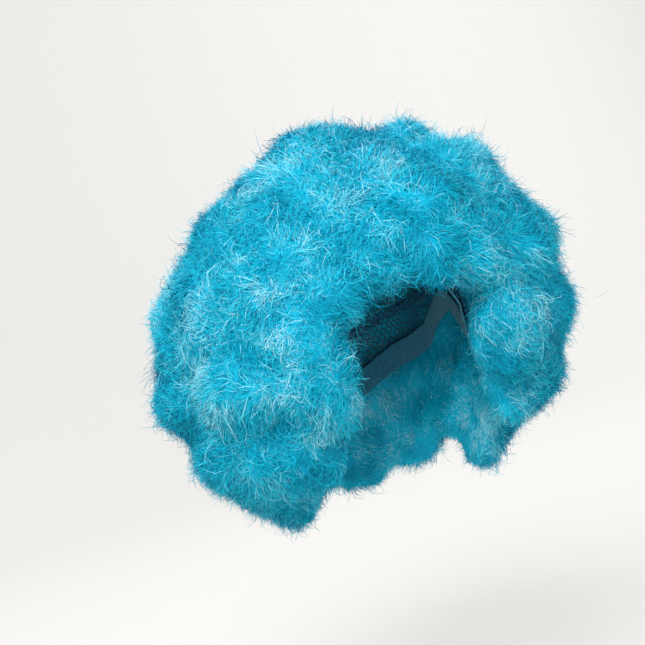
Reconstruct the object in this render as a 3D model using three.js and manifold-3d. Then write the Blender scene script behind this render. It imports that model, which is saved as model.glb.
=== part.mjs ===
// Afro costume wig: a stretch net cap with an elastic band round its rim, rows of sewn weft, and
// teased hair in six sections. Units are millimetres, +Z is up, and the face looks along -Y, so the
// wearer's left is +X. The origin is the point inside the cap that rests on the crown of the head.
import * as THREE from 'three';
import { mergeVertices } from 'three/addons/utils/BufferGeometryUtils.js';
import Module from 'manifold-3d';

const wasm = await Module();
wasm.setup();

// The head that the cap fits
const headHalfWidth = 77;
const headHalfLength = 96;
const crownToGirth = 104;
const napeDrop = 166;
const napeTaper = 0.05;

// The cap and what is sewn to it
const netWall = 1.2;
const bandWall = 1.6;
const bandWidth = 16;
const bandHem = 2;
const seatGap = 0.3;
const trackWall = 1.5;
const trackWidth = 6;
const trackGap = 0.6;
const weftRows = 6;
const lowestWeftRise = 8;
const topWeftShare = 0.2;
const girthSteps = 28;
const capRows = 7;

// The mass of hair
const hairRadius = 167;
const hairCentreDrop = 88;
const hairCentreBack = 10;
const hairClearance = 0.6;
const coreDepth = 15;
const coreSteps = 24;
const coreRowAngle = 15;
const sectionGap = 0.6;

// The locks that stand out of it
const lockSpacing = 63;
const lockWidth = 80;
const lockWidthRange = 0.18;
const lockLength = 80;
const lockSides = 6;
const lockDroop = 20;
const lockSwirl = 20;
const lockUneven = 7;
const lockBend = 0.33;
const rowUneven = 0.2;
const topLockElevation = 82;
const lowestLockElevation = -55;

// The opening for the face, and the locks round it
const faceHalfWidth = 65;
const faceTopDrop = 70;
const faceTopRound = 30;
const archSteps = 4;
const fringeLockWidth = 30;
const fringeLockLength = 46;
const fringeLift = 10;
const frameSpacing = 50;
const frameLockWidth = 52;
const frameLockLength = 64;
const frameLowDrop = 208;
const frameCurl = 8;

// How the hair is parted into sections
const fringeHalfAngle = 34;
const backHalfAngle = 66;
const crownDrop = 4;
const fringeDrop = 96;
const napeSectionDrop = 132;

// The rim of the cap from the middle of the forehead to the nape; drop is a share of napeDrop.
const rimTable = [
  { place: 'forehead', azimuth: 0, drop: 0.38 },
  { place: 'temple', azimuth: 42, drop: 0.46 },
  { place: 'ear tab', azimuth: 66, drop: 0.76 },
  { place: 'over the ear', azimuth: 92, drop: 0.6 },
  { place: 'behind the ear', azimuth: 125, drop: 0.84 },
  { place: 'nape', azimuth: 180, drop: 1.0 },
];

// The outer form of the hair: the share of hairRadius in four directions, by elevation in degrees.
const formTable = [
  { elevation: 90, front: 0.93, left: 0.93, back: 0.93, right: 0.93 },
  { elevation: 60, front: 0.93, left: 1.0, back: 0.94, right: 0.91 },
  { elevation: 30, front: 0.9, left: 1.05, back: 1.0, right: 0.96 },
  { elevation: 0, front: 0.84, left: 1.06, back: 1.04, right: 1.05 },
  { elevation: -30, front: 0.8, left: 1.04, back: 1.06, right: 1.11 },
  { elevation: -50, front: 0.8, left: 1.03, back: 1.06, right: 1.12 },
  { elevation: -70, front: 0.86, left: 0.9, back: 0.94, right: 0.95 },
  { elevation: -90, front: 0.85, left: 0.85, back: 0.85, right: 0.85 },
];

// The sections of one lock: along is a share of its length, width a share of its full width.
const lockTable = [
  { along: 0, width: 0.7 },
  { along: 0.5, width: 1.0 },
  { along: 0.8, width: 0.82 },
  { along: 0.95, width: 0.44 },
];

// Where the fringe's locks end: the share of faceHalfWidth across, and of faceTopDrop down.
const fringeTable = [
  { across: -0.96, down: 1.3 },
  { across: -0.64, down: 1.19 },
  { across: -0.32, down: 1.1 },
  { across: 0, down: 1.0 },
  { across: 0.32, down: 0.94 },
  { across: 0.64, down: 1.06 },
  { across: 0.96, down: 1.3 },
];

// The face opening from the head outwards: depth is a share of hairRadius, and flare a share of
// faceHalfWidth that the opening grows by to the sides and upwards.
const openingTable = [
  { place: 'behind the face', depth: 0, flare: 0 },
  { place: 'forehead', depth: 0.46, flare: 0 },
  { place: 'front of the hair', depth: 0.78, flare: 0.3 },
  { place: 'clear of the hair', depth: 1.3, flare: 0.85 },
];

const hairLift = netWall + trackGap + trackWall + hairClearance;
const hairFloorDrop = hairCentreDrop + hairRadius + lockLength;
const hairCentre = new THREE.Vector3(0, hairCentreBack, -hairCentreDrop);
const radians = THREE.MathUtils.degToRad;
const goldenShare = (Math.sqrt(5) - 1) / 2;

const netMaterial = new THREE.MeshStandardMaterial({ color: 0x12343f, roughness: 0.9 });
const bandMaterial = new THREE.MeshStandardMaterial({ color: 0x0d4a5c, roughness: 0.85 });
const trackMaterial = new THREE.MeshStandardMaterial({ color: 0x0a7ea6, roughness: 0.8 });
const hairMaterial = new THREE.MeshStandardMaterial({ color: 0x0aa5d4, roughness: 0.6 });

// A repeatable value from -1 to 1 for each seed. Golden steps keep neighbouring locks different.
function uneven(seed) {
  return 2 * ((seed * goldenShare) % 1) - 1;
}

// Eases from one row of a table to the next, so that the curve is smooth and never overshoots.
function tableValue(table, key, at, column) {
  const rising = table[0][key] < table[table.length - 1][key];
  const rows = rising ? table : [...table].reverse();
  const next = rows.findIndex((row) => row[key] >= at);
  if (next <= 0) return next === 0 ? rows[0][column] : rows[rows.length - 1][column];
  const low = rows[next - 1];
  const high = rows[next];
  const share = (at - low[key]) / (high[key] - low[key]);
  return low[column] + (high[column] - low[column]) * THREE.MathUtils.smoothstep(share, 0, 1);
}

// Six times the signed volume that a closed mesh holds; it is negative when the faces point in.
function sixVolumes(positions, index) {
  let sum = 0;
  const corner = [new THREE.Vector3(), new THREE.Vector3(), new THREE.Vector3()];
  for (let i = 0; i < index.length; i += 3) {
    corner.forEach((point, j) => point.fromArray(positions, 3 * index[i + j]));
    sum += corner[0].dot(corner[1].cross(corner[2]));
  }
  return sum;
}

// A closed skin over rings of points. With ends, the two ends close on a point each, and otherwise
// the last ring joins the first.
function loft(rings, ends) {
  const sides = rings[0].length;
  const points = rings.flat();
  const index = [];
  const joins = ends ? rings.length - 1 : rings.length;
  for (let ring = 0; ring < joins; ring++) {
    const here = ring * sides;
    const there = ((ring + 1) % rings.length) * sides;
    for (let side = 0; side < sides; side++) {
      const next = (side + 1) % sides;
      index.push(here + side, here + next, there + next, here + side, there + next, there + side);
    }
  }
  if (ends) {
    const first = points.length;
    const lastRing = (rings.length - 1) * sides;
    points.push(ends.start, ends.end);
    for (let side = 0; side < sides; side++) {
      const next = (side + 1) % sides;
      index.push(first, next, side, first + 1, lastRing + side, lastRing + next);
    }
  }
  const positions = points.flatMap((point) => point.toArray());
  if (sixVolumes(positions, index) < 0) index.reverse();
  const geometry = new THREE.BufferGeometry();
  geometry.setAttribute('position', new THREE.Float32BufferAttribute(positions, 3));
  geometry.setIndex(index);
  return geometry;
}

// Takes a closed three.js geometry to a solid that can be joined and cut.
function solidOf(geometry) {
  const bare = geometry.clone();
  bare.deleteAttribute('normal');
  bare.deleteAttribute('uv');
  const merged = mergeVertices(bare);
  const mesh = new wasm.Mesh({
    numProp: 3,
    vertProperties: new Float32Array(merged.attributes.position.array),
    triVerts: new Uint32Array(merged.index.array),
  });
  return new wasm.Manifold(mesh);
}

function geometryOf(solid) {
  const mesh = solid.getMesh();
  const geometry = new THREE.BufferGeometry();
  geometry.setAttribute('position', new THREE.BufferAttribute(mesh.vertProperties, 3));
  geometry.setIndex(new THREE.BufferAttribute(mesh.triVerts, 1));
  return geometry;
}

// The largest body of a solid; the partings cut small ends off a few locks, which are left out.
function mainBody(solid) {
  const bodies = solid.decompose();
  return bodies.reduce((largest, body) => (body.volume() > largest.volume() ? body : largest));
}

// How full the head is at a drop below its crown, as a share of its greatest girth.
function girthShare(drop) {
  if (drop < crownToGirth) {
    const above = 1 - Math.max(drop, 0) / crownToGirth;
    return Math.sqrt(1 - above * above);
  }
  const below = Math.min(1, (drop - crownToGirth) / (napeDrop - crownToGirth));
  return 1 - napeTaper * below * below;
}

// A point that stands off the head by lift, at an azimuth from the face and a drop from the crown.
function headPoint(azimuth, drop, lift) {
  const girth = girthShare(drop);
  const rise = lift * Math.max(0, 1 - drop / crownToGirth);
  return new THREE.Vector3(
    (headHalfWidth + lift) * girth * Math.sin(azimuth),
    -(headHalfLength + lift) * girth * Math.cos(azimuth),
    rise - drop,
  );
}

function rimDrop(azimuth) {
  const turned = Math.abs(THREE.MathUtils.radToDeg(Math.atan2(Math.sin(azimuth), Math.cos(azimuth))));
  return napeDrop * tableValue(rimTable, 'azimuth', turned, 'drop');
}

// A point on the cap at a share of the way from its crown to its rim.
function capPoint(azimuth, share, lift) {
  return headPoint(azimuth, rimDrop(azimuth) * (1 - Math.cos((share * Math.PI) / 2)), lift);
}

// The length of the cap from its crown to its rim at one azimuth.
function rimReach(azimuth) {
  let reach = 0;
  for (let row = 0; row < capRows; row++) {
    reach += capPoint(azimuth, row / capRows, 0).distanceTo(capPoint(azimuth, (row + 1) / capRows, 0));
  }
  return reach;
}

function girth(makePoint) {
  return Array.from({ length: girthSteps }, (_, step) => makePoint((step * 2 * Math.PI) / girthSteps));
}

// Where the top of the edge band lies, as a share of the way from the crown to the rim.
function bandTop(azimuth) {
  return 1 - bandWidth / rimReach(azimuth);
}

// The hollow dome of stretch net, whose last row is as wide as the band inside it.
function capNet() {
  const upperRows = capRows - 1;
  const ring = (row, lift) => girth((azimuth) => (
    capPoint(azimuth, row < capRows ? (bandTop(azimuth) * row) / upperRows : 1, lift)
  ));
  const rows = Array.from({ length: capRows }, (_, row) => row + 1);
  const rings = [
    ...rows.map((row) => ring(row, 0)),
    ...rows.reverse().map((row) => ring(row, netWall)),
  ];
  return loft(rings, { start: headPoint(0, 0, 0), end: headPoint(0, 0, netWall) });
}

// The elastic band inside the rim, which shows below the net as a narrow hem.
function edgeBand() {
  const inner = -seatGap - bandWall;
  return loft(girth((azimuth) => {
    const hem = rimDrop(azimuth) + bandHem;
    return [
      headPoint(azimuth, hem, inner),
      capPoint(azimuth, 1, inner),
      capPoint(azimuth, bandTop(azimuth), inner),
      capPoint(azimuth, bandTop(azimuth), -seatGap),
      capPoint(azimuth, 1, -seatGap),
      headPoint(azimuth, hem, -seatGap),
    ];
  }));
}

// One row of weft, counted up from the rim: the sewn strip that the hair hangs from.
function weftTrack(row) {
  const lift = netWall + trackGap;
  return loft(girth((azimuth) => {
    const half = trackWidth / 2 / rimReach(azimuth);
    const lowest = 1 - half - lowestWeftRise / rimReach(azimuth);
    const middle = lowest + ((topWeftShare - lowest) * row) / (weftRows - 1);
    return [
      capPoint(azimuth, middle + half, lift),
      capPoint(azimuth, middle - half, lift),
      capPoint(azimuth, middle - half, lift + trackWall),
      capPoint(azimuth, middle + half, lift + trackWall),
    ];
  }));
}

// The head and neck with room for the cap, which the hair stands round.
function headForm() {
  const profile = [new THREE.Vector2(0, hairLift)];
  const rows = 2 * capRows;
  for (let row = 1; row <= rows; row++) {
    const drop = crownToGirth * (1 - Math.cos((row / rows) * (Math.PI / 2)));
    profile.push(new THREE.Vector2(girthShare(drop), hairLift * (1 - drop / crownToGirth) - drop));
  }
  const midDrop = (crownToGirth + napeDrop) / 2;
  profile.push(new THREE.Vector2(girthShare(midDrop), -midDrop));
  profile.push(new THREE.Vector2(girthShare(napeDrop), -napeDrop));
  profile.push(new THREE.Vector2(girthShare(napeDrop), -hairFloorDrop));
  profile.push(new THREE.Vector2(0, -hairFloorDrop));
  const form = new THREE.LatheGeometry(profile.reverse(), girthSteps).rotateX(Math.PI / 2);
  return form.scale(headHalfWidth + hairLift, headHalfLength + hairLift, 1);
}

// How far the hair reaches from its centre towards a direction.
function hairReach(azimuth, elevation) {
  const at = (column) => tableValue(formTable, 'elevation', elevation, column);
  const frontBack = Math.cos(azimuth) > 0 ? at('front') : at('back');
  const side = Math.sin(azimuth) > 0 ? at('left') : at('right');
  return hairRadius * (side + (frontBack - side) * Math.cos(azimuth) ** 2);
}

// A point of the hair at an azimuth from the face and an elevation in degrees; depth is below its
// outer form.
function hairPoint(azimuth, elevation, depth) {
  const flat = Math.cos(radians(elevation));
  return new THREE.Vector3(flat * Math.sin(azimuth), -flat * Math.cos(azimuth), Math.sin(radians(elevation)))
    .multiplyScalar(hairReach(azimuth, elevation) - depth)
    .add(hairCentre);
}

// The dense body of the hair, which the locks stand out of.
function hairCore() {
  const rings = [];
  for (let elevation = 90 - coreRowAngle; elevation > -90; elevation -= coreRowAngle) {
    rings.push(Array.from({ length: coreSteps }, (_, step) => (
      hairPoint((step * 2 * Math.PI) / coreSteps, elevation, coreDepth)
    )));
  }
  return loft(rings, { start: hairPoint(0, 90, coreDepth), end: hairPoint(0, -90, coreDepth) });
}

// One tuft of teased hair from root to tip, bent through a point between them.
function lock(root, bend, tip, width) {
  const curve = new THREE.QuadraticBezierCurve3(root, bend, tip);
  const rings = lockTable.map((row) => {
    const middle = curve.getPoint(row.along);
    const along = curve.getTangent(row.along);
    const across = new THREE.Vector3(-along.y, along.x, Number.EPSILON).normalize();
    const up = new THREE.Vector3().crossVectors(along, across);
    return Array.from({ length: lockSides }, (_, side) => {
      const turn = (side * 2 * Math.PI) / lockSides;
      return middle.clone()
        .addScaledVector(across, (Math.cos(turn) * row.width * width) / 2)
        .addScaledVector(up, (Math.sin(turn) * row.width * width) / 2);
    });
  });
  return loft(rings, { start: root, end: tip });
}

// A lock that stands out of the core towards a direction, and droops and swirls at its tip.
function coreLock(azimuth, elevation, seed) {
  const depth = uneven(seed) * lockUneven;
  const root = hairPoint(azimuth, elevation, depth + lockLength);
  const bend = hairPoint(azimuth, elevation, depth + lockLength * lockBend);
  const aside = new THREE.Vector3(Math.cos(azimuth), Math.sin(azimuth), 0);
  const tip = hairPoint(azimuth, elevation, depth).addScaledVector(aside, uneven(2 * seed) * lockSwirl);
  tip.z -= lockDroop * Math.cos(radians(elevation));
  return lock(root, bend, tip, lockWidth * (1 + lockWidthRange * uneven(3 * seed)));
}

// True where a lock would stand in front of the face.
function beforeFace(azimuth, elevation) {
  const point = hairPoint(azimuth, elevation, 0);
  const room = lockWidth / 2;
  return point.y < 0 && Math.abs(point.x) < faceHalfWidth + room && point.z < room / 2 - faceTopDrop;
}

// Rows of locks from the top of the wig down to the hair's lower edge.
function coreLocks() {
  const locks = [];
  const span = topLockElevation - lowestLockElevation;
  const lastRow = Math.round((radians(span) * hairRadius) / lockSpacing);
  for (let row = 0; row <= lastRow; row++) {
    const elevation = topLockElevation - (span * row) / lastRow;
    const round = 2 * Math.PI * hairRadius * Math.cos(radians(elevation));
    const count = Math.max(3, Math.round(round / lockSpacing));
    for (let step = 0; step < count; step++) {
      const seed = locks.length;
      const azimuth = ((step + (row % 2) / 2 + rowUneven * uneven(seed)) * 2 * Math.PI) / count;
      if (!beforeFace(azimuth, elevation)) locks.push(coreLock(azimuth, elevation, seed));
    }
  }
  return locks;
}

// The locks that fall over the forehead.
function fringeLocks() {
  return fringeTable.map((row, place) => {
    const azimuth = Math.asin((row.across * faceHalfWidth) / (headHalfWidth + hairLift));
    const drop = row.down * faceTopDrop;
    const lift = hairLift + fringeLift;
    const tip = headPoint(azimuth, drop, lift);
    const root = headPoint(azimuth, drop - fringeLockLength, lift + fringeLift);
    const bend = headPoint(azimuth, drop - fringeLockLength * lockBend, lift + 2 * fringeLift);
    return lock(root, bend, tip, fringeLockWidth * (1 + lockWidthRange * uneven(place)));
  });
}

// The arch that the face looks out of, grown by flare to the sides and upwards.
function faceArch(flare, lowDrop) {
  const half = faceHalfWidth + flare;
  const top = flare - faceTopDrop;
  const arch = new THREE.Path();
  arch.moveTo(half, -lowDrop);
  arch.lineTo(half, top - faceTopRound);
  arch.quadraticCurveTo(half, top, 0, top);
  arch.quadraticCurveTo(-half, top, -half, top - faceTopRound);
  arch.lineTo(-half, -lowDrop);
  return arch;
}

// The locks round the front edge of the opening, which root beside it and curl towards the face.
function frameLocks() {
  const front = openingTable.find((row) => row.place === 'front of the hair');
  const arch = faceArch(front.flare * faceHalfWidth, frameLowDrop);
  const count = Math.round(arch.getLength() / frameSpacing);
  return Array.from({ length: count + 1 }, (_, place) => {
    const edge = arch.getPointAt(place / count);
    const along = arch.getTangentAt(place / count);
    const away = new THREE.Vector3(along.y, 0, -along.x);
    const rise = edge.y + hairCentreDrop;
    const forward = Math.sqrt(hairRadius ** 2 - edge.x ** 2 - rise ** 2);
    const azimuth = Math.atan2(edge.x, forward);
    const elevation = THREE.MathUtils.radToDeg(Math.asin(rise / hairRadius));
    const tip = hairPoint(azimuth, elevation, 0).addScaledVector(away, -frameCurl);
    const root = hairPoint(azimuth, elevation, frameLockLength).addScaledVector(away, frameLockLength / 2);
    const bend = hairPoint(azimuth, elevation, frameLockLength * lockBend).addScaledVector(away, 2 * frameCurl);
    return lock(root, bend, tip, frameLockWidth * (1 + lockWidthRange * uneven(place)));
  });
}

// What the hair leaves open in front of the face, from below the chin up to the hairline.
function faceOpening() {
  const rings = openingTable.map((row) => faceArch(row.flare * faceHalfWidth, hairFloorDrop)
    .getPoints(archSteps)
    .map((point) => new THREE.Vector3(point.x, -row.depth * hairRadius, point.y)));
  const middle = (ring) => new THREE.Vector3(0, ring[0].y, -hairFloorDrop / 2);
  return loft(rings, { start: middle(rings[0]), end: middle(rings[rings.length - 1]) });
}

// A wedge of the space round the head, between two drops; the gap to the next section is shared.
function wedge(middleAngle, halfAngle, topDrop, lowDrop) {
  const reach = 2 * hairRadius;
  const set = sectionGap / 2 / Math.sin(radians(halfAngle));
  const pie = new THREE.Shape();
  pie.moveTo(0, -set);
  pie.lineTo(reach * Math.tan(radians(halfAngle)), -set - reach);
  pie.lineTo(-reach * Math.tan(radians(halfAngle)), -set - reach);
  const depth = lowDrop - topDrop - sectionGap;
  return solidOf(new THREE.ExtrudeGeometry(pie, { depth, bevelEnabled: false })
    .rotateZ(radians(middleAngle))
    .translate(0, 0, sectionGap / 2 - lowDrop));
}

// Everything above the crown's parting.
function crownRegion() {
  const reach = 2 * hairRadius;
  return solidOf(new THREE.BoxGeometry(2 * reach, 2 * reach, reach)
    .translate(0, 0, reach / 2 - crownDrop + sectionGap / 2));
}

// One side of the head, which reaches forward under the fringe to the cheek.
function sideRegion(side) {
  const backEdge = 180 - backHalfAngle;
  const half = (backEdge - fringeHalfAngle) / 2;
  const upper = wedge(side * (fringeHalfAngle + half), half, crownDrop, hairFloorDrop);
  return upper.add(wedge((side * backEdge) / 2, backEdge / 2, fringeDrop, hairFloorDrop));
}

const locks = [...coreLocks(), ...fringeLocks(), ...frameLocks()].map(solidOf);
const core = solidOf(hairCore()).subtract(solidOf(faceOpening()));
const hair = wasm.Manifold.union([core, ...locks]).subtract(solidOf(headForm()));

const sections = {
  crown_hair: crownRegion(),
  fringe_hair: wedge(0, fringeHalfAngle, crownDrop, fringeDrop),
  left_side_hair: sideRegion(1),
  right_side_hair: sideRegion(-1),
  back_hair: wedge(180, backHalfAngle, crownDrop, napeSectionDrop),
  nape_hair: wedge(180, backHalfAngle, napeSectionDrop, hairFloorDrop),
};

const wig = new THREE.Group();

function add(name, geometry, material) {
  const mesh = new THREE.Mesh(geometry, material);
  mesh.name = name;
  wig.add(mesh);
}

add('cap_net', capNet(), netMaterial);
add('edge_band', edgeBand(), bandMaterial);
for (let row = 0; row < weftRows; row++) {
  add(`weft_track_${row + 1}`, weftTrack(row), trackMaterial);
}
for (const [name, region] of Object.entries(sections)) {
  add(name, geometryOf(mainBody(hair.intersect(region))), hairMaterial);
}

export default wig;
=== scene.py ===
"""The looks of an afro wig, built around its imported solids: net cap, edge band, wefts and teased hair."""

import math

import bmesh
import bpy
import numpy as np
from bpy.props import FloatProperty, FloatVectorProperty, IntProperty, PointerProperty
from mathutils import Matrix, Vector
from mathutils.bvhtree import BVHTree
from mathutils.kdtree import KDTree


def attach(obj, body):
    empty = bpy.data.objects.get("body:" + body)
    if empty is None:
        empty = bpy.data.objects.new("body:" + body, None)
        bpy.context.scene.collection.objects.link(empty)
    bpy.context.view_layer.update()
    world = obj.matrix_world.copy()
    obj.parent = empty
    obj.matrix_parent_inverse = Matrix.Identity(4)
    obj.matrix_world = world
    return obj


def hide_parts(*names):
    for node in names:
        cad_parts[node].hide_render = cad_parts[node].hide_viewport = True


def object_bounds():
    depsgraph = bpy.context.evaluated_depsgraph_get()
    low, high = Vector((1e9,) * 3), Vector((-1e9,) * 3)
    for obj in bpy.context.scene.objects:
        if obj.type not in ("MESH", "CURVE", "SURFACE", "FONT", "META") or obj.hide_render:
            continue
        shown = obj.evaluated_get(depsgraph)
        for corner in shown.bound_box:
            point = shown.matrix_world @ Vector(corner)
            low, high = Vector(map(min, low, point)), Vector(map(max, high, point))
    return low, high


bl_info = {
    "name": "Afro wig",
    "version": (1, 0, 0),
    "blender": (4, 5, 0),
    "location": "3D View > Sidebar > Wig",
    "description": "Dresses the solids of an afro wig with a knitted net, woven elastic, wefts and teased fibre",
    "category": "Object",
}

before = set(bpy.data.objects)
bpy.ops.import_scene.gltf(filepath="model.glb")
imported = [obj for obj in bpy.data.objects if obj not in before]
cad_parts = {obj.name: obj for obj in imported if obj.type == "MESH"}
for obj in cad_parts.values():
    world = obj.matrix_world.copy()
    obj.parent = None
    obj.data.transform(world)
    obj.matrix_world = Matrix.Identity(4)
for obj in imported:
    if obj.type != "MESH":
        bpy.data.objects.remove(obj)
CAD_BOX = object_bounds()

HAIR_NODES = ("crown_hair", "fringe_hair", "left_side_hair", "right_side_hair", "back_hair", "nape_hair")
WEFT_NODES = tuple(sorted(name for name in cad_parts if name.startswith("weft_track")))

MM = 0.001
DOWN = np.array((0.0, 0.0, -1.0))
# The middle of the head, which the hair spreads away from
HAIR_HEART = np.array((0.0, 0.010, -0.088))
# The point that the cap's net is spread from, level with the widest part of the head
CAP_HEART = Vector((0.0, 0.002, -0.095))
# The head's middle, and half its width, length and height with a little room for the cap and its wefts
HEAD_MIDDLE = np.array((0.0, 0.0, -0.104))
HEAD_HALF = np.array((0.077, 0.096, 0.104))
# The hair's inner side reaches this far from the head's axis, in half widths of the head
HOLLOW_REACH = 1.2
# The hair's softening grows from nothing to all of it between these, in half widths of the head
SOFT_FROM, SOFT_RISE = 1.15, 0.4
SWIRL_SEEDS = (11, 12, 13)
# Seeds of the painted highlight and shade in patches and streaks
PAINTED_LIGHT_PATCH_SEED = 21
PAINTED_LIGHT_STREAK_SEED = 22
LUMP_SEED = 31
ROOT_SEED = 41
# The fibre's usual shade, and how far wide patches and short streaks of painted highlight and painted shade take it
# from that
USUAL_SHADE = 0.42
PAINTED_LIGHT_PATCH_WIDTH, PAINTED_LIGHT_PATCH_SHARE = 0.09, 0.17
PAINTED_LIGHT_STREAK_WIDTH, PAINTED_LIGHT_STREAK_SHARE = 0.024, 0.17
STRAND_TINT = 0.17
# Half the width that a face has on the bake's map
MAP_HALF_WIDTH = 0.003
# The most triangles in one section of the hair
MOST_FACES = 182000
# Triangles in a ribbon of two segments, and how many more one of four has
FUZZ_FACES, CURL_EXTRA_FACES = 3, 4


def linear(code):
    """An sRGB hex colour turned to the linear numbers that Blender works in."""
    channels = [int(code[start:start + 2], 16) / 255 for start in (1, 3, 5)]
    return [c / 12.92 if c <= 0.04045 else ((c + 0.055) / 1.055) ** 2.4 for c in channels]


class WigHairSettings(bpy.types.PropertyGroup):
    """Sizes and colours of the teased hair."""

    grid: FloatProperty(
        name="Body grid", description="Size of the faces of the dense body under the loose fibre",
        default=0.0055, min=0.003, max=0.012, subtype="DISTANCE", unit="LENGTH")
    soften: IntProperty(
        name="Soften", description="How many times the hollows between tufts are smoothed",
        default=110, min=0, max=200)
    soften_inside: IntProperty(
        name="Soften inside", description="How many times the inner face beside the cap is smoothed",
        default=16, min=0, max=60)
    swell: FloatProperty(
        name="Swell", description="How far the dense body stands out over its softened face",
        default=0.003, min=-0.01, max=0.01, subtype="DISTANCE", unit="LENGTH")
    swell_inside: FloatProperty(
        name="Swell inside", description="How far the inner face stands in towards the cap",
        default=-0.002, min=-0.01, max=0.01, subtype="DISTANCE", unit="LENGTH")
    lump_height: FloatProperty(
        name="Lump height", description="Height of the small lumps of the dense body",
        default=0.0025, min=0.0, max=0.006, subtype="DISTANCE", unit="LENGTH")
    lump_width: FloatProperty(
        name="Lump width", description="Distance from one small lump to the next",
        default=0.036, min=0.01, max=0.1, subtype="DISTANCE", unit="LENGTH")
    density: IntProperty(
        name="Strands", description="Loose strands for each square metre of the dense body",
        default=560000, min=10000, max=900000)
    curl_share: FloatProperty(
        name="Curls", description="Share of the strands that are long curls, the rest being short fuzz",
        default=0.2, min=0.0, max=1.0, subtype="FACTOR")
    fuzz_length: FloatProperty(
        name="Fuzz length", description="Usual length of the short fuzz",
        default=0.011, min=0.005, max=0.05, subtype="DISTANCE", unit="LENGTH")
    curl_length: FloatProperty(
        name="Curl length", description="Usual length of the long curls",
        default=0.022, min=0.01, max=0.06, subtype="DISTANCE", unit="LENGTH")
    strand_width: FloatProperty(
        name="Strand width", description="Width of a strand at its root, a few fibres side by side",
        default=0.00045, min=0.0002, max=0.002, subtype="DISTANCE", unit="LENGTH")
    curl_radius: FloatProperty(
        name="Curl radius", description="Radius that a strand curves with",
        default=0.011, min=0.004, max=0.1, subtype="DISTANCE", unit="LENGTH")
    root_depth: FloatProperty(
        name="Root depth", description="How deep a strand starts inside the dense body",
        default=0.001, min=0.0, max=0.01, subtype="DISTANCE", unit="LENGTH")
    swirl_width: FloatProperty(
        name="Swirl width", description="Distance over which the lie of the strands turns",
        default=0.06, min=0.02, max=0.3, subtype="DISTANCE", unit="LENGTH")
    clump_pull: FloatProperty(
        name="Clump pull", description="How far the strands of a clump draw together at their tips",
        default=0.3, min=0.0, max=1.0, subtype="FACTOR")
    clump_size: IntProperty(
        name="Clump size", description="Strands in a clump", default=40, min=2, max=400)
    # Root: painted shade deep in the hair, at the strands' roots and in the crimps' dips, and also the colour of the
    # darkest strands
    root_shade_and_dark_tint_colour: FloatVectorProperty(
        name="Root", description="Fibre deep in the hair", subtype="COLOR", size=3, default=linear("#0094B4"))
    body_colour: FloatVectorProperty(
        name="Body", description="Fibre in the body of the hair", subtype="COLOR", size=3,
        default=linear("#00C4E0"))
    # Lit: painted light on the lighter strands and on the highlight patches, and also the tint of the real sheen
    lit_colour: FloatVectorProperty(
        name="Lit", description="Fibre where the hair is loose and light", subtype="COLOR", size=3,
        default=linear("#20DCF2"))
    # Pale tip: painted highlight, the glint and scattered light on the loose fibre ends
    pale_tip_highlight_colour: FloatVectorProperty(
        name="Pale tip", description="The palest fibre ends", subtype="COLOR", size=3,
        default=linear("#C4F4FA"))


class WigCapSettings(bpy.types.PropertyGroup):
    """Sizes and colours of the net cap, its edge band and its wefts."""

    net_frequency: IntProperty(
        name="Net cells", description="Cells of the net along each edge of the ball that it is laid out on",
        default=22, min=8, max=40)
    cord_width: FloatProperty(
        name="Net cord", description="Thickness of the net's knitted cords",
        default=0.0008, min=0.0003, max=0.002, subtype="DISTANCE", unit="LENGTH")
    rib_spacing: FloatProperty(
        name="Rib spacing", description="Distance between the ribs of the woven elastic",
        default=0.0022, min=0.0005, max=0.005, subtype="DISTANCE", unit="LENGTH")
    net_colour: FloatVectorProperty(
        name="Net", description="Knitted nylon net", subtype="COLOR", size=3, default=linear("#0F4F66"))
    band_colour: FloatVectorProperty(
        name="Band", description="Woven elastic band", subtype="COLOR", size=3, default=linear("#0E86A4"))
    weft_colour: FloatVectorProperty(
        name="Weft", description="Sewn seam of the wefts", subtype="COLOR", size=3, default=linear("#0784B4"))


class WigStageSettings(bpy.types.PropertyGroup):
    """The studio round the wig and the camera's place."""

    floor_drop: FloatProperty(
        name="Floor drop", description="How far the floor lies under the hair",
        default=0.30, min=0.0, max=2.0, subtype="DISTANCE", unit="LENGTH")
    azimuth: FloatProperty(
        name="Azimuth", description="Camera's turn round the wig, from the front towards the wearer's left",
        default=math.radians(-20), subtype="ANGLE", unit="ROTATION")
    elevation: FloatProperty(
        name="Elevation", description="Camera's height over the wig's middle",
        default=math.radians(4), subtype="ANGLE", unit="ROTATION")
    lean: FloatProperty(
        name="Lean", description="How far the wig's top leans to the left of the picture",
        default=math.radians(14), subtype="ANGLE", unit="ROTATION")
    pixel: FloatProperty(
        name="Pixel", description="Width of a pixel of the 645 pixel picture at the wig's middle",
        default=0.00085, min=0.0003, max=0.003, subtype="DISTANCE", unit="LENGTH")
    focal_length: FloatProperty(
        name="Focal length", description="Focal length in millimetres on a 36 mm sensor",
        default=85.0, min=35.0, max=200.0)
    paper_colour: FloatVectorProperty(
        name="Paper", description="Floor and backdrop", subtype="COLOR", size=3, default=linear("#D2D0CD"))


def add_node(tree, kind, inputs=None, **settings):
    """Adds one node, with its settings, and sets or links its sockets."""
    node = tree.nodes.new(kind)
    for name, value in settings.items():
        setattr(node, name, value)
    for name, value in (inputs or {}).items():
        if isinstance(value, bpy.types.NodeSocket):
            tree.links.new(value, node.inputs[name])
        else:
            node.inputs[name].default_value = value
    return node


def new_material(name):
    """An empty node material and its tree."""
    material = bpy.data.materials.new(name)
    material.use_nodes = True
    material.node_tree.nodes.clear()
    return material, material.node_tree


def mixed(tree, factor, first, second):
    """The colour of a mix of two colours."""
    return add_node(tree, "ShaderNodeMix", {0: factor, 6: first, 7: second}, data_type="RGBA").outputs[2]


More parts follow.
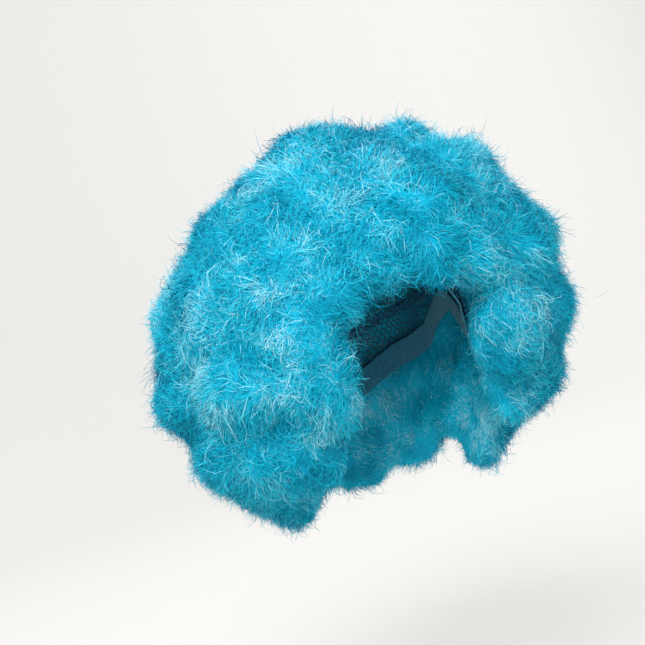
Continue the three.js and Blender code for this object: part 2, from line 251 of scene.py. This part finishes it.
def ranged(tree, value, low, high):
    """A smooth rise from 0 at low to 1 at high."""
    inputs = {"Value": value, "From Min": low, "From Max": high}
    return add_node(tree, "ShaderNodeMapRange", inputs, interpolation_type="SMOOTHSTEP").outputs[0]


def opaque(colour):
    """A colour with its alpha."""
    return (*colour, 1.0)


def teased_fibre(hair):
    """Modacrylic fibre, melt-spun, crimped and teased apart.

    To the eye it is a saturated blue mass with a soft satin glint; its loose ends scatter light and go pale, which is
    painted highlight in the colour, and the dark at its roots is painted shade.
    """
    material, tree = new_material("teased_modacrylic_fibre")
    along = add_node(tree, "ShaderNodeAttribute", attribute_name="along").outputs["Fac"]
    shade = add_node(tree, "ShaderNodeAttribute", attribute_name="shade").outputs["Fac"]
    # Wisps 2 mm apart, down to single fibres, which show where the dense body does
    place = add_node(tree, "ShaderNodeTexCoord").outputs["Object"]
    fibres = add_node(
        tree, "ShaderNodeTexNoise", {"Vector": place, "Scale": 500.0, "Detail": 4.0, "Distortion": 1.5},
    ).outputs["Fac"]
    fibres = add_node(
        tree, "ShaderNodeMath", {0: fibres, 1: 0.7, 2: -0.35}, operation="MULTIPLY_ADD").outputs[0]
    shade = add_node(tree, "ShaderNodeMath", {0: shade, 1: fibres}, operation="ADD").outputs[0]
    # Dark strands and patches of painted shade take the root colour; light strands and patches of painted highlight
    # take the lit one
    body = mixed(tree, ranged(tree, shade, 0.05, 0.45), opaque(hair.root_shade_and_dark_tint_colour), opaque(hair.body_colour))
    body = mixed(tree, ranged(tree, shade, 0.45, 0.85), body, opaque(hair.lit_colour))
    # Painted highlight: the lighter strands go pale towards their tips
    tip = mixed(tree, ranged(tree, shade, 0.48, 0.9), body, opaque(hair.pale_tip_highlight_colour))
    colour = mixed(tree, ranged(tree, along, 0.05, 0.6), body, tip)
    # Painted shade towards each strand's root, deep in the hair
    colour = mixed(tree, ranged(tree, along, -0.3, 0.3), opaque(hair.root_shade_and_dark_tint_colour), colour)
    # Crimps about 3 mm long, each with painted shade where it dips and its full colour where it turns up
    place = add_node(tree, "ShaderNodeCombineXYZ", {"X": shade, "Y": along}).outputs[0]
    stretched = add_node(
        tree, "ShaderNodeVectorMath", {0: place, 1: (90.0, 9.0, 1.0)}, operation="MULTIPLY").outputs[0]
    crimp = add_node(
        tree, "ShaderNodeTexNoise", {"Vector": stretched, "Scale": 1.0, "Detail": 2.0}).outputs["Fac"]
    crimp = ranged(tree, crimp, 0.35, 0.65)
    colour = mixed(tree, crimp, mixed(tree, 0.55, colour, opaque(hair.root_shade_and_dark_tint_colour)), colour)
    shader = add_node(tree, "ShaderNodeBsdfPrincipled", {
        "Base Color": colour, "Roughness": 0.55, "Specular IOR Level": 0.12, "IOR": 1.5,
        "Sheen Weight": 0.5, "Sheen Roughness": 0.5, "Sheen Tint": opaque(hair.lit_colour),
    }).outputs[0]
    add_node(tree, "ShaderNodeOutputMaterial", {"Surface": shader})
    return material


def knitted_net(cap):
    """Knitted nylon net: matt, twisted cords a little under a millimetre thick, dark against the hair behind."""
    material, tree = new_material("knitted_nylon_net")
    place = add_node(tree, "ShaderNodeTexCoord").outputs["Object"]
    # Yarn twist 0.6 mm long
    twist = add_node(
        tree, "ShaderNodeTexNoise", {"Vector": place, "Scale": 1600.0, "Detail": 3.0}).outputs["Fac"]
    tired = add_node(tree, "ShaderNodeTexNoise", {"Vector": place, "Scale": 45.0, "Detail": 2.0}).outputs["Fac"]
    # Painted shade: the colour darkens where the twist's bump is low, in its hollows
    dark = [0.55 * c for c in cap.net_colour]
    colour = mixed(tree, ranged(tree, twist, 0.3, 0.7), opaque(dark), opaque(cap.net_colour))
    colour = mixed(tree, ranged(tree, tired, 0.4, 0.9), colour, opaque([1.5 * c for c in cap.net_colour]))
    bump = add_node(tree, "ShaderNodeBump", {"Height": twist, "Strength": 0.5, "Distance": 0.2 * MM}).outputs[0]
    shader = add_node(tree, "ShaderNodeBsdfPrincipled", {
        "Base Color": colour, "Roughness": 0.75, "IOR": 1.53, "Normal": bump, "Sheen Weight": 0.15,
    }).outputs[0]
    add_node(tree, "ShaderNodeOutputMaterial", {"Surface": shader})
    return material


def woven_elastic(cap):
    """Woven elastic, rubber cores under a polyester weave: satin ribs across the band, with a thread's grain."""
    material, tree = new_material("woven_polyester_elastic")
    place = add_node(tree, "ShaderNodeTexCoord").outputs["Object"]
    parts = add_node(tree, "ShaderNodeSeparateXYZ", {"Vector": place})
    angle = add_node(
        tree, "ShaderNodeMath", {0: parts.outputs[1], 1: parts.outputs[0]}, operation="ARCTAN2").outputs[0]
    # Ribs counted round a head of 85 mm mean radius
    turns = 0.085 / cap.rib_spacing * 2 * math.pi
    phase = add_node(tree, "ShaderNodeMath", {0: angle, 1: turns}, operation="MULTIPLY").outputs[0]
    rib = add_node(tree, "ShaderNodeMath", {0: phase}, operation="SINE").outputs[0]
    # Threads run round the band, 0.9 mm apart, drawn coarser than the real 0.4 mm so that they show
    rows = add_node(
        tree, "ShaderNodeMath", {0: parts.outputs[2], 1: 2 * math.pi / (0.9 * MM)}, operation="MULTIPLY").outputs[0]
    thread = add_node(tree, "ShaderNodeMath", {0: rows}, operation="SINE").outputs[0]
    weave = add_node(tree, "ShaderNodeMath", {0: thread, 1: 0.35, 2: rib}, operation="MULTIPLY_ADD").outputs[0]
    # Painted shade: the grooves between the ribs, where the bump is low, are darker
    colour = mixed(
        tree, ranged(tree, weave, -1.2, 1.2), opaque([0.5 * c for c in cap.band_colour]),
        opaque(cap.band_colour))
    bump = add_node(tree, "ShaderNodeBump", {"Height": weave, "Strength": 0.7, "Distance": 0.4 * MM}).outputs[0]
    shader = add_node(tree, "ShaderNodeBsdfPrincipled", {
        "Base Color": colour, "Roughness": 0.55, "IOR": 1.5, "Normal": bump, "Sheen Weight": 0.2,
    }).outputs[0]
    add_node(tree, "ShaderNodeOutputMaterial", {"Surface": shader})
    return material


def sewn_weft(cap):
    """Fibre ends sewn into a seam: upright fibres side by side, crossed by rows of lock stitch."""
    material, tree = new_material("sewn_modacrylic_weft")
    place = add_node(tree, "ShaderNodeTexCoord").outputs["Object"]
    # Fibres 0.7 mm wide lie up and down, so the pattern is stretched along Z
    flat = add_node(
        tree, "ShaderNodeVectorMath", {0: place, 1: (1.0, 1.0, 0.08)}, operation="MULTIPLY").outputs[0]
    fibre = add_node(
        tree, "ShaderNodeTexNoise", {"Vector": flat, "Scale": 900.0, "Detail": 3.0}).outputs["Fac"]
    height = add_node(tree, "ShaderNodeSeparateXYZ", {"Vector": place}).outputs[2]
    # Stitch rows 2 mm apart
    rows = add_node(
        tree, "ShaderNodeMath", {0: height, 1: 2 * math.pi / (2 * MM)}, operation="MULTIPLY").outputs[0]
    stitch = add_node(tree, "ShaderNodeMath", {0: rows}, operation="SINE").outputs[0]
    relief = add_node(tree, "ShaderNodeMath", {0: stitch, 1: 0.4, 2: fibre}, operation="MULTIPLY_ADD").outputs[0]
    # Partly painted shade: the gaps between fibres, where the bump is low, are darker
    colour = mixed(
        tree, ranged(tree, fibre, 0.3, 0.7), opaque([0.35 * c for c in cap.weft_colour]),
        opaque(cap.weft_colour))
    bump = add_node(tree, "ShaderNodeBump", {"Height": relief, "Strength": 0.8, "Distance": 0.5 * MM}).outputs[0]
    shader = add_node(tree, "ShaderNodeBsdfPrincipled", {
        "Base Color": colour, "Roughness": 0.5, "IOR": 1.5, "Normal": bump,
    }).outputs[0]
    add_node(tree, "ShaderNodeOutputMaterial", {"Surface": shader})
    return material


def studio_paper(stage):
    """Matt studio paper: an even pale field with the faintest grain."""
    material, tree = new_material("matt_studio_paper")
    place = add_node(tree, "ShaderNodeTexCoord").outputs["Object"]
    grain = add_node(tree, "ShaderNodeTexNoise", {"Vector": place, "Scale": 300.0, "Detail": 2.0}).outputs["Fac"]
    colour = mixed(tree, grain, opaque([0.985 * c for c in stage.paper_colour]), opaque(stage.paper_colour))
    shader = add_node(tree, "ShaderNodeBsdfPrincipled", {"Base Color": colour, "Roughness": 0.95}).outputs[0]
    add_node(tree, "ShaderNodeOutputMaterial", {"Surface": shader})
    return material


def unit(vectors):
    """Each row of an array, scaled to length 1."""
    return vectors / np.maximum(np.linalg.norm(vectors, axis=-1, keepdims=True), 1e-9)


def drift(points, wavelength, seed, waves=10):
    """A smooth number, mostly within -1 to 1, at each point, which runs on from one section to the next."""
    rng = np.random.default_rng(seed)
    directions = unit(rng.normal(size=(waves, 3)))
    rates = 2 * np.pi / (wavelength * rng.uniform(0.7, 1.6, waves))
    phases = rng.uniform(0, 2 * np.pi, waves)
    return np.sin(points @ (directions * rates[:, None]).T + phases).sum(1) / math.sqrt(waves)


def read_array(items, field, width, kind=np.float32):
    """One row of numbers for each item of a Blender collection."""
    values = np.empty(len(items) * width, kind)
    items.foreach_get(field, values)
    return values.reshape(-1, width)


def finished_mesh(thing):
    """The mesh of an object after its modifiers."""
    graph = bpy.context.evaluated_depsgraph_get()
    return bpy.data.meshes.new_from_object(thing.evaluated_get(graph))


def add_object(name, mesh, material, replaced=None):
    """Adds one finished piece of the wig to the scene, under the root body's empty, and hides the solid it replaces.
    """
    thing = bpy.data.objects.new(name, mesh)
    bpy.context.scene.collection.objects.link(thing)
    mesh.materials.clear()
    mesh.materials.append(material)
    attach(thing, "root")
    if replaced:
        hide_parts(replaced)
    return thing


def joined_solids(names):
    """Several solids as one list of points and one of faces, with the number of each face's solid."""
    points, faces, owners = [], [], []
    for number, name in enumerate(names):
        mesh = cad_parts[name].data
        start = len(points)
        points += [v.co.copy() for v in mesh.vertices]
        faces += [[start + i for i in p.vertices] for p in mesh.polygons]
        owners += [number] * len(mesh.polygons)
    return points, faces, np.array(owners)


def nearest_owner(tree, owners, points):
    """The number of the solid that each point is nearest to."""
    return owners[[tree.find_nearest(Vector(point))[2] for point in points]]


def hair_surface(points, faces, hair):
    """The whole hair as one closed surface: its partings shut, its hollows softened, and lightly lumped."""
    mesh = bpy.data.meshes.new("draft")
    mesh.from_pydata(points, [], faces)
    draft = bpy.data.objects.new("draft", mesh)
    bpy.context.scene.collection.objects.link(draft)
    grid = draft.modifiers.new("Grid", "REMESH")
    grid.mode = "VOXEL"
    grid.voxel_size = hair.grid
    soften = draft.modifiers.new("Soften", "SMOOTH")
    soften.factor = 0.5
    soften.iterations = hair.soften_inside
    close = finished_mesh(draft)
    soften.iterations = hair.soften
    surface = finished_mesh(draft)
    bpy.data.objects.remove(draft)
    # Beside the head the hair keeps off the cap, and away from it the tufts run together
    distances = from_head(read_array(close.vertices, "co", 3))
    outside = np.clip((distances - SOFT_FROM) / SOFT_RISE, 0, 1)[:, None]
    spots = np.zeros((len(surface.vertices), 3))
    for mesh, weight, swell in ((close, 1 - outside, hair.swell_inside), (surface, outside, hair.swell)):
        normals = read_array(mesh.vertices, "normal", 3)
        spots += weight * (read_array(mesh.vertices, "co", 3) + normals * swell)
    lumps = drift(spots, hair.lump_width, LUMP_SEED)
    spots += read_array(surface.vertices, "normal", 3) * (lumps * hair.lump_height)[:, None]
    surface.vertices.foreach_set("co", spots.astype(np.float32).ravel())
    surface.update()
    bpy.data.meshes.remove(close)
    return surface


def scatter(mesh, count, rng):
    """Random points spread evenly over a mesh, with their smooth normals."""
    mesh.calc_loop_triangles()
    corners = read_array(mesh.loop_triangles, "vertices", 3, np.int32)
    points = read_array(mesh.vertices, "co", 3).astype(float)[corners]
    normals = read_array(mesh.vertices, "normal", 3).astype(float)[corners]
    areas = np.linalg.norm(np.cross(points[:, 1] - points[:, 0], points[:, 2] - points[:, 0]), axis=1) / 2
    chosen = rng.choice(len(corners), int(count * areas.sum()), p=areas / areas.sum())
    first, second = rng.uniform(size=(2, len(chosen)))
    folded = first + second > 1
    first[folded], second[folded] = 1 - first[folded], 1 - second[folded]
    shares = np.stack([1 - first - second, first, second], 1)[:, :, None]
    return (points[chosen] * shares).sum(1), unit((normals[chosen] * shares).sum(1))


def head_offset(points):
    """Each point's offset from the head's axis, in half widths of the head; below the ears only the way out counts."""
    offset = (points - HEAD_MIDDLE) / HEAD_HALF
    offset[:, 2] = np.maximum(offset[:, 2], 0)
    return offset


def from_head(points):
    """How far each point is from the head's axis: 1 on the cap, more outside it."""
    return np.linalg.norm(head_offset(points), axis=1)


def in_hollow(points, normals):
    """Whether each point is on the inner side of the hair, which lies on the cap or hangs round the neck."""
    return (from_head(points) < HOLLOW_REACH) & ((head_offset(points) * normals).sum(1) < 0)


def strand_lines(roots, normals, lengths, lift, segments, hair, rng):
    """The centre lines of strands, which leave the hair, arch over and lie with the swirl of their place."""
    count = len(roots)
    away = unit(roots - HAIR_HEART)
    swirl = np.stack([drift(roots, hair.swirl_width, seed) for seed in SWIRL_SEEDS], 1)
    lie = unit(swirl) * 1.0 + unit(rng.normal(size=(count, 3))) * 1.0 + DOWN * 0.35 + away * 0.2
    lie = unit(lie - normals * (lie * normals).sum(1, keepdims=True))
    rise = (lift * rng.uniform(0.3, 0.9, count))[:, None]
    heading = unit(normals * rise + lie * (1 - 0.6 * rise))
    bend = unit(np.cross(heading, lie - normals * 0.3) + rng.normal(size=(count, 3)) * 0.7)
    bend = unit(bend - heading * (bend * heading).sum(1, keepdims=True))
    step = lengths / segments
    turn = step / (hair.curl_radius * rng.lognormal(0.0, 0.5, count))
    turn = np.minimum(turn, math.radians(50))
    point = roots - normals * hair.root_depth
    lines = [point]
    for _ in range(segments):
        point = point + heading * step[:, None]
        lines.append(point)
        wobble = (turn * rng.uniform(0.3, 1.7, count))[:, None]
        heading = heading * np.cos(wobble) + np.cross(bend, heading) * np.sin(wobble)
        heading = unit(heading + rng.normal(size=(count, 3)) * 0.15)
    return np.stack(lines, 1)


def clumped(lines, hair, rng):
    """Strand lines drawn together towards the middle strand of their clump."""
    leaders = rng.choice(len(lines), max(1, len(lines) // hair.clump_size), replace=False)
    tree = KDTree(len(leaders))
    for i, leader in enumerate(leaders):
        tree.insert(lines[leader, 0], i)
    tree.balance()
    own = leaders[[tree.find(root)[1] for root in lines[:, 0]]]
    share = np.linspace(0, 1, lines.shape[1]) ** 1.3
    pull = hair.clump_pull * rng.uniform(0, 1, len(lines))
    return lines + (lines[own] - lines) * pull[:, None, None] * share[None, :, None]


def ribbons(lines, normals, widths, rng):
    """Flat pointed ribbons along strand lines: vertices, their normals, and the vertex numbers of the faces.

    Their normals lean to the hair's own, so that a tuft takes the light as one soft form.
    """
    count, levels, _ = lines.shape
    facing = unit(normals + rng.normal(size=(count, 3)) * 0.5)[:, None, :]
    headings = unit(np.gradient(lines, axis=1))
    sides = unit(np.cross(headings, facing))
    taper = 1 - 0.6 * np.linspace(0, 1, levels) ** 2
    half = sides * (widths[:, None] * taper)[:, :, None] / 2
    pairs = np.stack([lines - half, lines + half], 2)[:, :-1].reshape(count, -1, 3)
    points = np.concatenate([pairs, lines[:, -1:]], 1)
    own = unit(np.cross(sides, headings))
    soft = unit(own * 0.5 + normals[:, None, :] * 0.7)
    soft = np.concatenate([np.repeat(soft[:, :-1], 2, axis=1), soft[:, -1:]], 1)
    per_strand = points.shape[1]
    starts = (np.arange(count) * per_strand)[:, None]
    quads = [starts + np.array([[2 * i, 2 * i + 1, 2 * i + 3, 2 * i + 2]]) for i in range(levels - 2)]
    tips = starts + np.array([[per_strand - 3, per_strand - 2, per_strand - 1]])
    return points.reshape(-1, 3), soft.reshape(-1, 3), np.concatenate(quads), tips


def shade_of(points, spread, rng):
    """How light the fibre is at each point, 0 to 1: wide patches and short streaks of painted highlight and shade, and
    each strand's own tint.
    """
    painted_light_patch = drift(points, PAINTED_LIGHT_PATCH_WIDTH, PAINTED_LIGHT_PATCH_SEED)
    painted_light_streak = drift(points, PAINTED_LIGHT_STREAK_WIDTH, PAINTED_LIGHT_STREAK_SEED)
    own = rng.normal(size=len(points))
    shade = USUAL_SHADE + PAINTED_LIGHT_PATCH_SHARE * painted_light_patch + PAINTED_LIGHT_STREAK_SHARE * painted_light_streak + spread * own
    return np.clip(shade, 0.01, 0.99)


def strand_batch(roots, normals, inner, kind, hair, rng):
    """One kind of strand on its roots, as the arrays that a mesh is filled from."""
    segments, length, width = kind
    length_spread, stray_share, stray_growth = 0.22, 0.03, 1.4
    inner_length, inner_lift = 0.7, 0.6
    lengths = length * rng.lognormal(0.0, length_spread, len(roots))
    lengths[rng.uniform(size=len(roots)) < stray_share] *= stray_growth
    lengths = np.where(inner, np.minimum(lengths, inner_length * length), lengths)
    lift = np.where(inner, inner_lift, 1.0)
    lines = strand_lines(roots, normals, lengths, lift, segments, hair, rng)
    lines = clumped(lines, hair, rng)
    points, soft, quads, tips = ribbons(lines, normals, width * rng.uniform(0.6, 1.3, len(roots)), rng)
    along = np.tile([*np.repeat(np.arange(segments) / segments, 2), 1.0], len(roots))
    shade = np.repeat(shade_of(roots, STRAND_TINT, rng), 2 * segments + 1)
    # The two edges of a ribbon lie a little apart on the map, so that no face has no width there
    apart = np.tile([*np.tile([-MAP_HALF_WIDTH, MAP_HALF_WIDTH], segments), 0.0], len(roots))
    return {
        "points": points, "normals": soft, "along": along, "shade": shade, "across": shade + apart,
        "faces": [quads, tips],
    }


def body_patch(surface, chosen, rng):
    """Some faces of the hair's surface, as the arrays that a mesh is filled from."""
    corners = read_array(surface.loops, "vertex_index", 1, np.int32).reshape(-1, 4)[chosen]
    used, quads = np.unique(corners, return_inverse=True)
    points = read_array(surface.vertices, "co", 3).astype(float)[used]
    # The body takes the shades of the roots, with painted shade: a little darker than the strands over it, and near
    # the root colour
    tint, painted_shade_under_strands, root_share = 0.05, 0.7, 0.12
    shade = shade_of(points, tint, rng) * painted_shade_under_strands
    return {
        "points": points, "normals": read_array(surface.vertices, "normal", 3).astype(float)[used],
        "along": rng.uniform(0.0, root_share, len(used)), "shade": shade,
        "across": shade + rng.uniform(-MAP_HALF_WIDTH, MAP_HALF_WIDTH, len(used)),
        "faces": [quads.reshape(-1, 4)],
    }


def filled_mesh(name, batches):
    """One mesh from several batches of arrays, with what its material and the bake's map need."""
    points, normals, along, shade, across = (
        np.concatenate([batch[field] for batch in batches])
        for field in ("points", "normals", "along", "shade", "across")
    )
    start, corners, counts = 0, [], []
    for batch in batches:
        for faces in batch["faces"]:
            corners.append((faces + start).ravel())
            counts.append(np.full(len(faces), faces.shape[1]))
        start += len(batch["points"])
    corners, counts = np.concatenate(corners).astype(np.int32), np.concatenate(counts)
    mesh = bpy.data.meshes.new(name)
    mesh.vertices.add(len(points))
    mesh.vertices.foreach_set("co", points.astype(np.float32).ravel())
    mesh.loops.add(len(corners))
    mesh.loops.foreach_set("vertex_index", corners)
    mesh.polygons.add(len(counts))
    mesh.polygons.foreach_set("loop_start", (np.cumsum(counts) - counts).astype(np.int32))
    mesh.update(calc_edges=True)
    mesh.shade_smooth()
    mesh.normals_split_custom_set_from_vertices(normals)
    for field, values in (("along", along), ("shade", shade)):
        attribute = mesh.attributes.new(field, "FLOAT", "POINT")
        attribute.data.foreach_set("value", values.astype(np.float32))
    # On the bake's map shade runs across, and the way along a strand runs up
    layer = mesh.uv_layers.new(name="OFBake")
    places = np.stack([np.clip(across, 0, 1), 0.02 + 0.96 * along], 1)
    layer.data.foreach_set("uv", places[corners].astype(np.float32).ravel())
    return mesh


def net_cells(cap):
    """A mesh of six-sided cells spread over the cap's wall, between its rim and its crown."""
    points, faces, _ = joined_solids(["cap_net"])
    wall = BVHTree.FromPolygons(points, faces)
    ball = bmesh.new()
    bmesh.ops.create_icosphere(ball, subdivisions=1, radius=1.0)
    bmesh.ops.subdivide_edges(ball, edges=ball.edges[:], cuts=cap.net_frequency - 1, use_grid_fill=True)
    for vertex in ball.verts:
        vertex.co.normalize()
    ball.verts.index_update()
    ball.faces.index_update()
    spots = []
    for face in ball.faces:
        direction = face.calc_center_median().normalized()
        hit, _, _, distance = wall.ray_cast(CAP_HEART, direction, 0.3)
        spots.append(CAP_HEART + direction * (distance + 0.6 * MM) if hit else None)
    cells = []
    for vertex in ball.verts:
        loop = vertex.link_loops[0]
        ring = []
        for _ in range(len(vertex.link_loops)):
            ring.append(loop.face.index)
            loop = loop.link_loop_prev.link_loop_radial_next
        if all(spots[i] is not None for i in ring):
            cells.append(ring)
    ball.free()
    used = sorted({i for ring in cells for i in ring})
    number = {old: new for new, old in enumerate(used)}
    mesh = bpy.data.meshes.new("cap_net_cells")
    mesh.from_pydata([spots[i] for i in used], [], [[number[i] for i in ring] for ring in cells])
    mesh.update()
    return mesh


class WIG_OT_stage(bpy.types.Operator):
    """Add the floor and backdrop, the soft studio lights and the camera"""

    bl_idname = "wig.stage"
    bl_label = "Add studio"

    def execute(self, context):
        stage = context.scene.wig_stage
        low, high = CAD_BOX
        floor_height = low[2] - stage.floor_drop
        self.add_paper(context, floor_height, studio_paper(stage))
        middle = (Vector(low) + Vector(high)) / 2
        self.add_lights(context, middle)
        self.add_camera(context, middle, stage)
        return {"FINISHED"}

    def add_paper(self, context, height, material):
        """A sheet of paper that lies on the floor and curves up behind the wig."""
        half_width, front, back, top, curve = 6.0, -6.0, 3.5, 5.0, 1.5
        profile = [(front, 0.0), (back - curve, 0.0)]
        profile += [
            (back - curve + curve * math.sin(a), curve * (1 - math.cos(a)))
            for a in np.linspace(0, math.pi / 2, 16)[1:]
        ]
        profile.append((back, top))
        points = [(x, y, height + z) for y, z in profile for x in (-half_width, half_width)]
        faces = [(2 * i, 2 * i + 1, 2 * i + 3, 2 * i + 2) for i in range(len(profile) - 1)]
        mesh = bpy.data.meshes.new("studio_paper")
        mesh.from_pydata(points, [], faces)
        mesh.shade_smooth()
        mesh.materials.append(material)
        paper = bpy.data.objects.new("studio_paper", mesh)
        context.scene.collection.objects.link(paper)

    def add_lights(self, context, middle):
        """A key light high on the left, a wide fill, a soft light behind, two for the paper and a pale room."""
        wig, paper = (0.0, 0.0, 0.0), (0.0, 3.4, 0.2)
        lights = (
            ("key_light", (-0.8, -1.5, 1.2), wig, 0.9, 46.0),
            ("fill_light", (1.6, -1.3, 0.2), wig, 1.6, 8.0),
            ("back_light", (0.5, 1.2, 1.4), wig, 1.0, 12.0),
            ("left_paper_light", (-2.4, 1.4, 1.6), paper, 1.5, 45.0),
            ("right_paper_light", (2.4, 1.4, 1.6), paper, 1.5, 45.0),
        )
        for name, offset, target, size, power in lights:
            data = bpy.data.lights.new(name, "AREA")
            data.size = size
            data.energy = power
            light = bpy.data.objects.new(name, data)
            light.location = middle + Vector(offset)
            light.rotation_euler = (Vector(target) - Vector(offset)).to_track_quat("-Z", "Y").to_euler()
            context.scene.collection.objects.link(light)
        world = bpy.data.worlds.new("studio_room")
        world.use_nodes = True
        background = world.node_tree.nodes["Background"]
        background.inputs["Color"].default_value = opaque(linear("#F4F6F8"))
        background.inputs["Strength"].default_value = 0.6
        context.scene.world = world
        context.scene.view_settings.view_transform = "Standard"

    def add_camera(self, context, middle, stage):
        """The camera at the picture's angle, with the wig's middle at its place in a 645 pixel picture."""
        picture = 645
        wig_place = (352, 317)
        data = bpy.data.cameras.new("camera")
        data.lens = stage.focal_length
        data.sensor_width = 36.0
        distance = picture * stage.pixel * stage.focal_length / data.sensor_width
        level = math.cos(stage.elevation)
        towards = Vector((
            math.sin(stage.azimuth) * level, -math.cos(stage.azimuth) * level, math.sin(stage.elevation)))
        right = Vector((0, 0, 1)).cross(towards).normalized()
        above = towards.cross(right)
        up = above * math.cos(stage.lean) + right * math.sin(stage.lean)
        side = up.cross(towards)
        aim = middle - side * (wig_place[0] - picture / 2) * stage.pixel
        aim += up * (wig_place[1] - picture / 2) * stage.pixel
        camera = bpy.data.objects.new("camera", data)
        turn = Matrix((side, up, towards)).transposed()
        camera.matrix_world = Matrix.LocRotScale(aim + towards * distance, turn, None)
        context.scene.collection.objects.link(camera)
        context.scene.camera = camera


class WIG_OT_cap_net(bpy.types.Operator):
    """Knit the open net of the cap over its wall"""

    bl_idname = "wig.cap_net"
    bl_label = "Knit cap net"

    def execute(self, context):
        cap = context.scene.wig_cap
        draft = bpy.data.objects.new("draft", net_cells(cap))
        context.scene.collection.objects.link(draft)
        cords = draft.modifiers.new("Cords", "WIREFRAME")
        cords.thickness = cap.cord_width
        cords.use_even_offset = True
        mesh = finished_mesh(draft)
        bpy.data.objects.remove(draft)
        mesh.shade_smooth()
        add_object("knitted_cap_net", mesh, knitted_net(cap), "cap_net")
        return {"FINISHED"}


class WIG_OT_edge_band(bpy.types.Operator):
    """Finish the elastic band inside the cap's rim"""

    bl_idname = "wig.edge_band"
    bl_label = "Weave edge band"

    def execute(self, context):
        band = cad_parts["edge_band"]
        band.data.materials.clear()
        band.data.materials.append(woven_elastic(context.scene.wig_cap))
        return {"FINISHED"}


class WIG_OT_wefts(bpy.types.Operator):
    """Finish the rows of sewn weft"""

    bl_idname = "wig.wefts"
    bl_label = "Sew wefts"

    def execute(self, context):
        material = sewn_weft(context.scene.wig_cap)
        for name in WEFT_NODES:
            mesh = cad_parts[name].data
            mesh.materials.clear()
            mesh.materials.append(material)
        return {"FINISHED"}


class WIG_OT_hair(bpy.types.Operator):
    """Tease out the hair of every section"""

    bl_idname = "wig.hair"
    bl_label = "Tease hair"

    def execute(self, context):
        hair = context.scene.wig_hair
        material = teased_fibre(hair)
        points, faces, owners = joined_solids(HAIR_NODES)
        tree = BVHTree.FromPolygons(points, faces)
        surface = hair_surface(points, faces, hair)
        if len(surface.loops) != 4 * len(surface.polygons):
            raise RuntimeError("the hair's surface isn't all four-sided faces")
        patches = nearest_owner(tree, owners, read_array(surface.polygons, "center", 3))
        rng = np.random.default_rng(ROOT_SEED)
        roots, normals = scatter(surface, hair.density, rng)
        inner = in_hollow(roots, normals)
        sections = nearest_owner(tree, owners, roots)
        fuzz = (2, hair.fuzz_length, hair.strand_width)
        curls = (4, hair.curl_length, hair.strand_width)
        for number, node in enumerate(HAIR_NODES):
            batches = [body_patch(surface, patches == number, rng)]
            own = rng.permutation(np.flatnonzero(sections == number))
            each = FUZZ_FACES + CURL_EXTRA_FACES * hair.curl_share
            own = own[:int((MOST_FACES - 2 * len(batches[0]["faces"][0])) / each)]
            split = int(len(own) * hair.curl_share)
            for kind, chosen in ((curls, own[:split]), (fuzz, own[split:])):
                batches.append(strand_batch(roots[chosen], normals[chosen], inner[chosen], kind, hair, rng))
            add_object("teased_" + node, filled_mesh(node, batches), material, node)
        bpy.data.meshes.remove(surface)
        return {"FINISHED"}


class WIG_PT_panel(bpy.types.Panel):
    """The wig's sizes and colours, and the buttons that build its pieces"""

    bl_idname = "WIG_PT_panel"
    bl_label = "Afro wig"
    bl_space_type = "VIEW_3D"
    bl_region_type = "UI"
    bl_category = "Wig"

    def draw(self, context):
        scene = context.scene
        for settings, buttons in (
            (scene.wig_stage, ("wig.stage",)),
            (scene.wig_cap, ("wig.cap_net", "wig.edge_band", "wig.wefts")),
            (scene.wig_hair, ("wig.hair",)),
        ):
            box = self.layout.box()
            for name in settings.__annotations__:
                box.prop(settings, name)
            for button in buttons:
                box.operator(button)


CLASSES = (
    WigHairSettings, WigCapSettings, WigStageSettings,
    WIG_OT_stage, WIG_OT_cap_net, WIG_OT_edge_band, WIG_OT_wefts, WIG_OT_hair, WIG_PT_panel,
)


def register():
    for cls in CLASSES:
        bpy.utils.register_class(cls)
    bpy.types.Scene.wig_hair = PointerProperty(type=WigHairSettings)
    bpy.types.Scene.wig_cap = PointerProperty(type=WigCapSettings)
    bpy.types.Scene.wig_stage = PointerProperty(type=WigStageSettings)


def unregister():
    del bpy.types.Scene.wig_stage
    del bpy.types.Scene.wig_cap
    del bpy.types.Scene.wig_hair
    for cls in reversed(CLASSES):
        bpy.utils.unregister_class(cls)


def main():
    register()
    bpy.ops.wig.stage()
    bpy.ops.wig.cap_net()
    bpy.ops.wig.edge_band()
    bpy.ops.wig.wefts()
    bpy.ops.wig.hair()


if __name__ == "__main__":
    main()
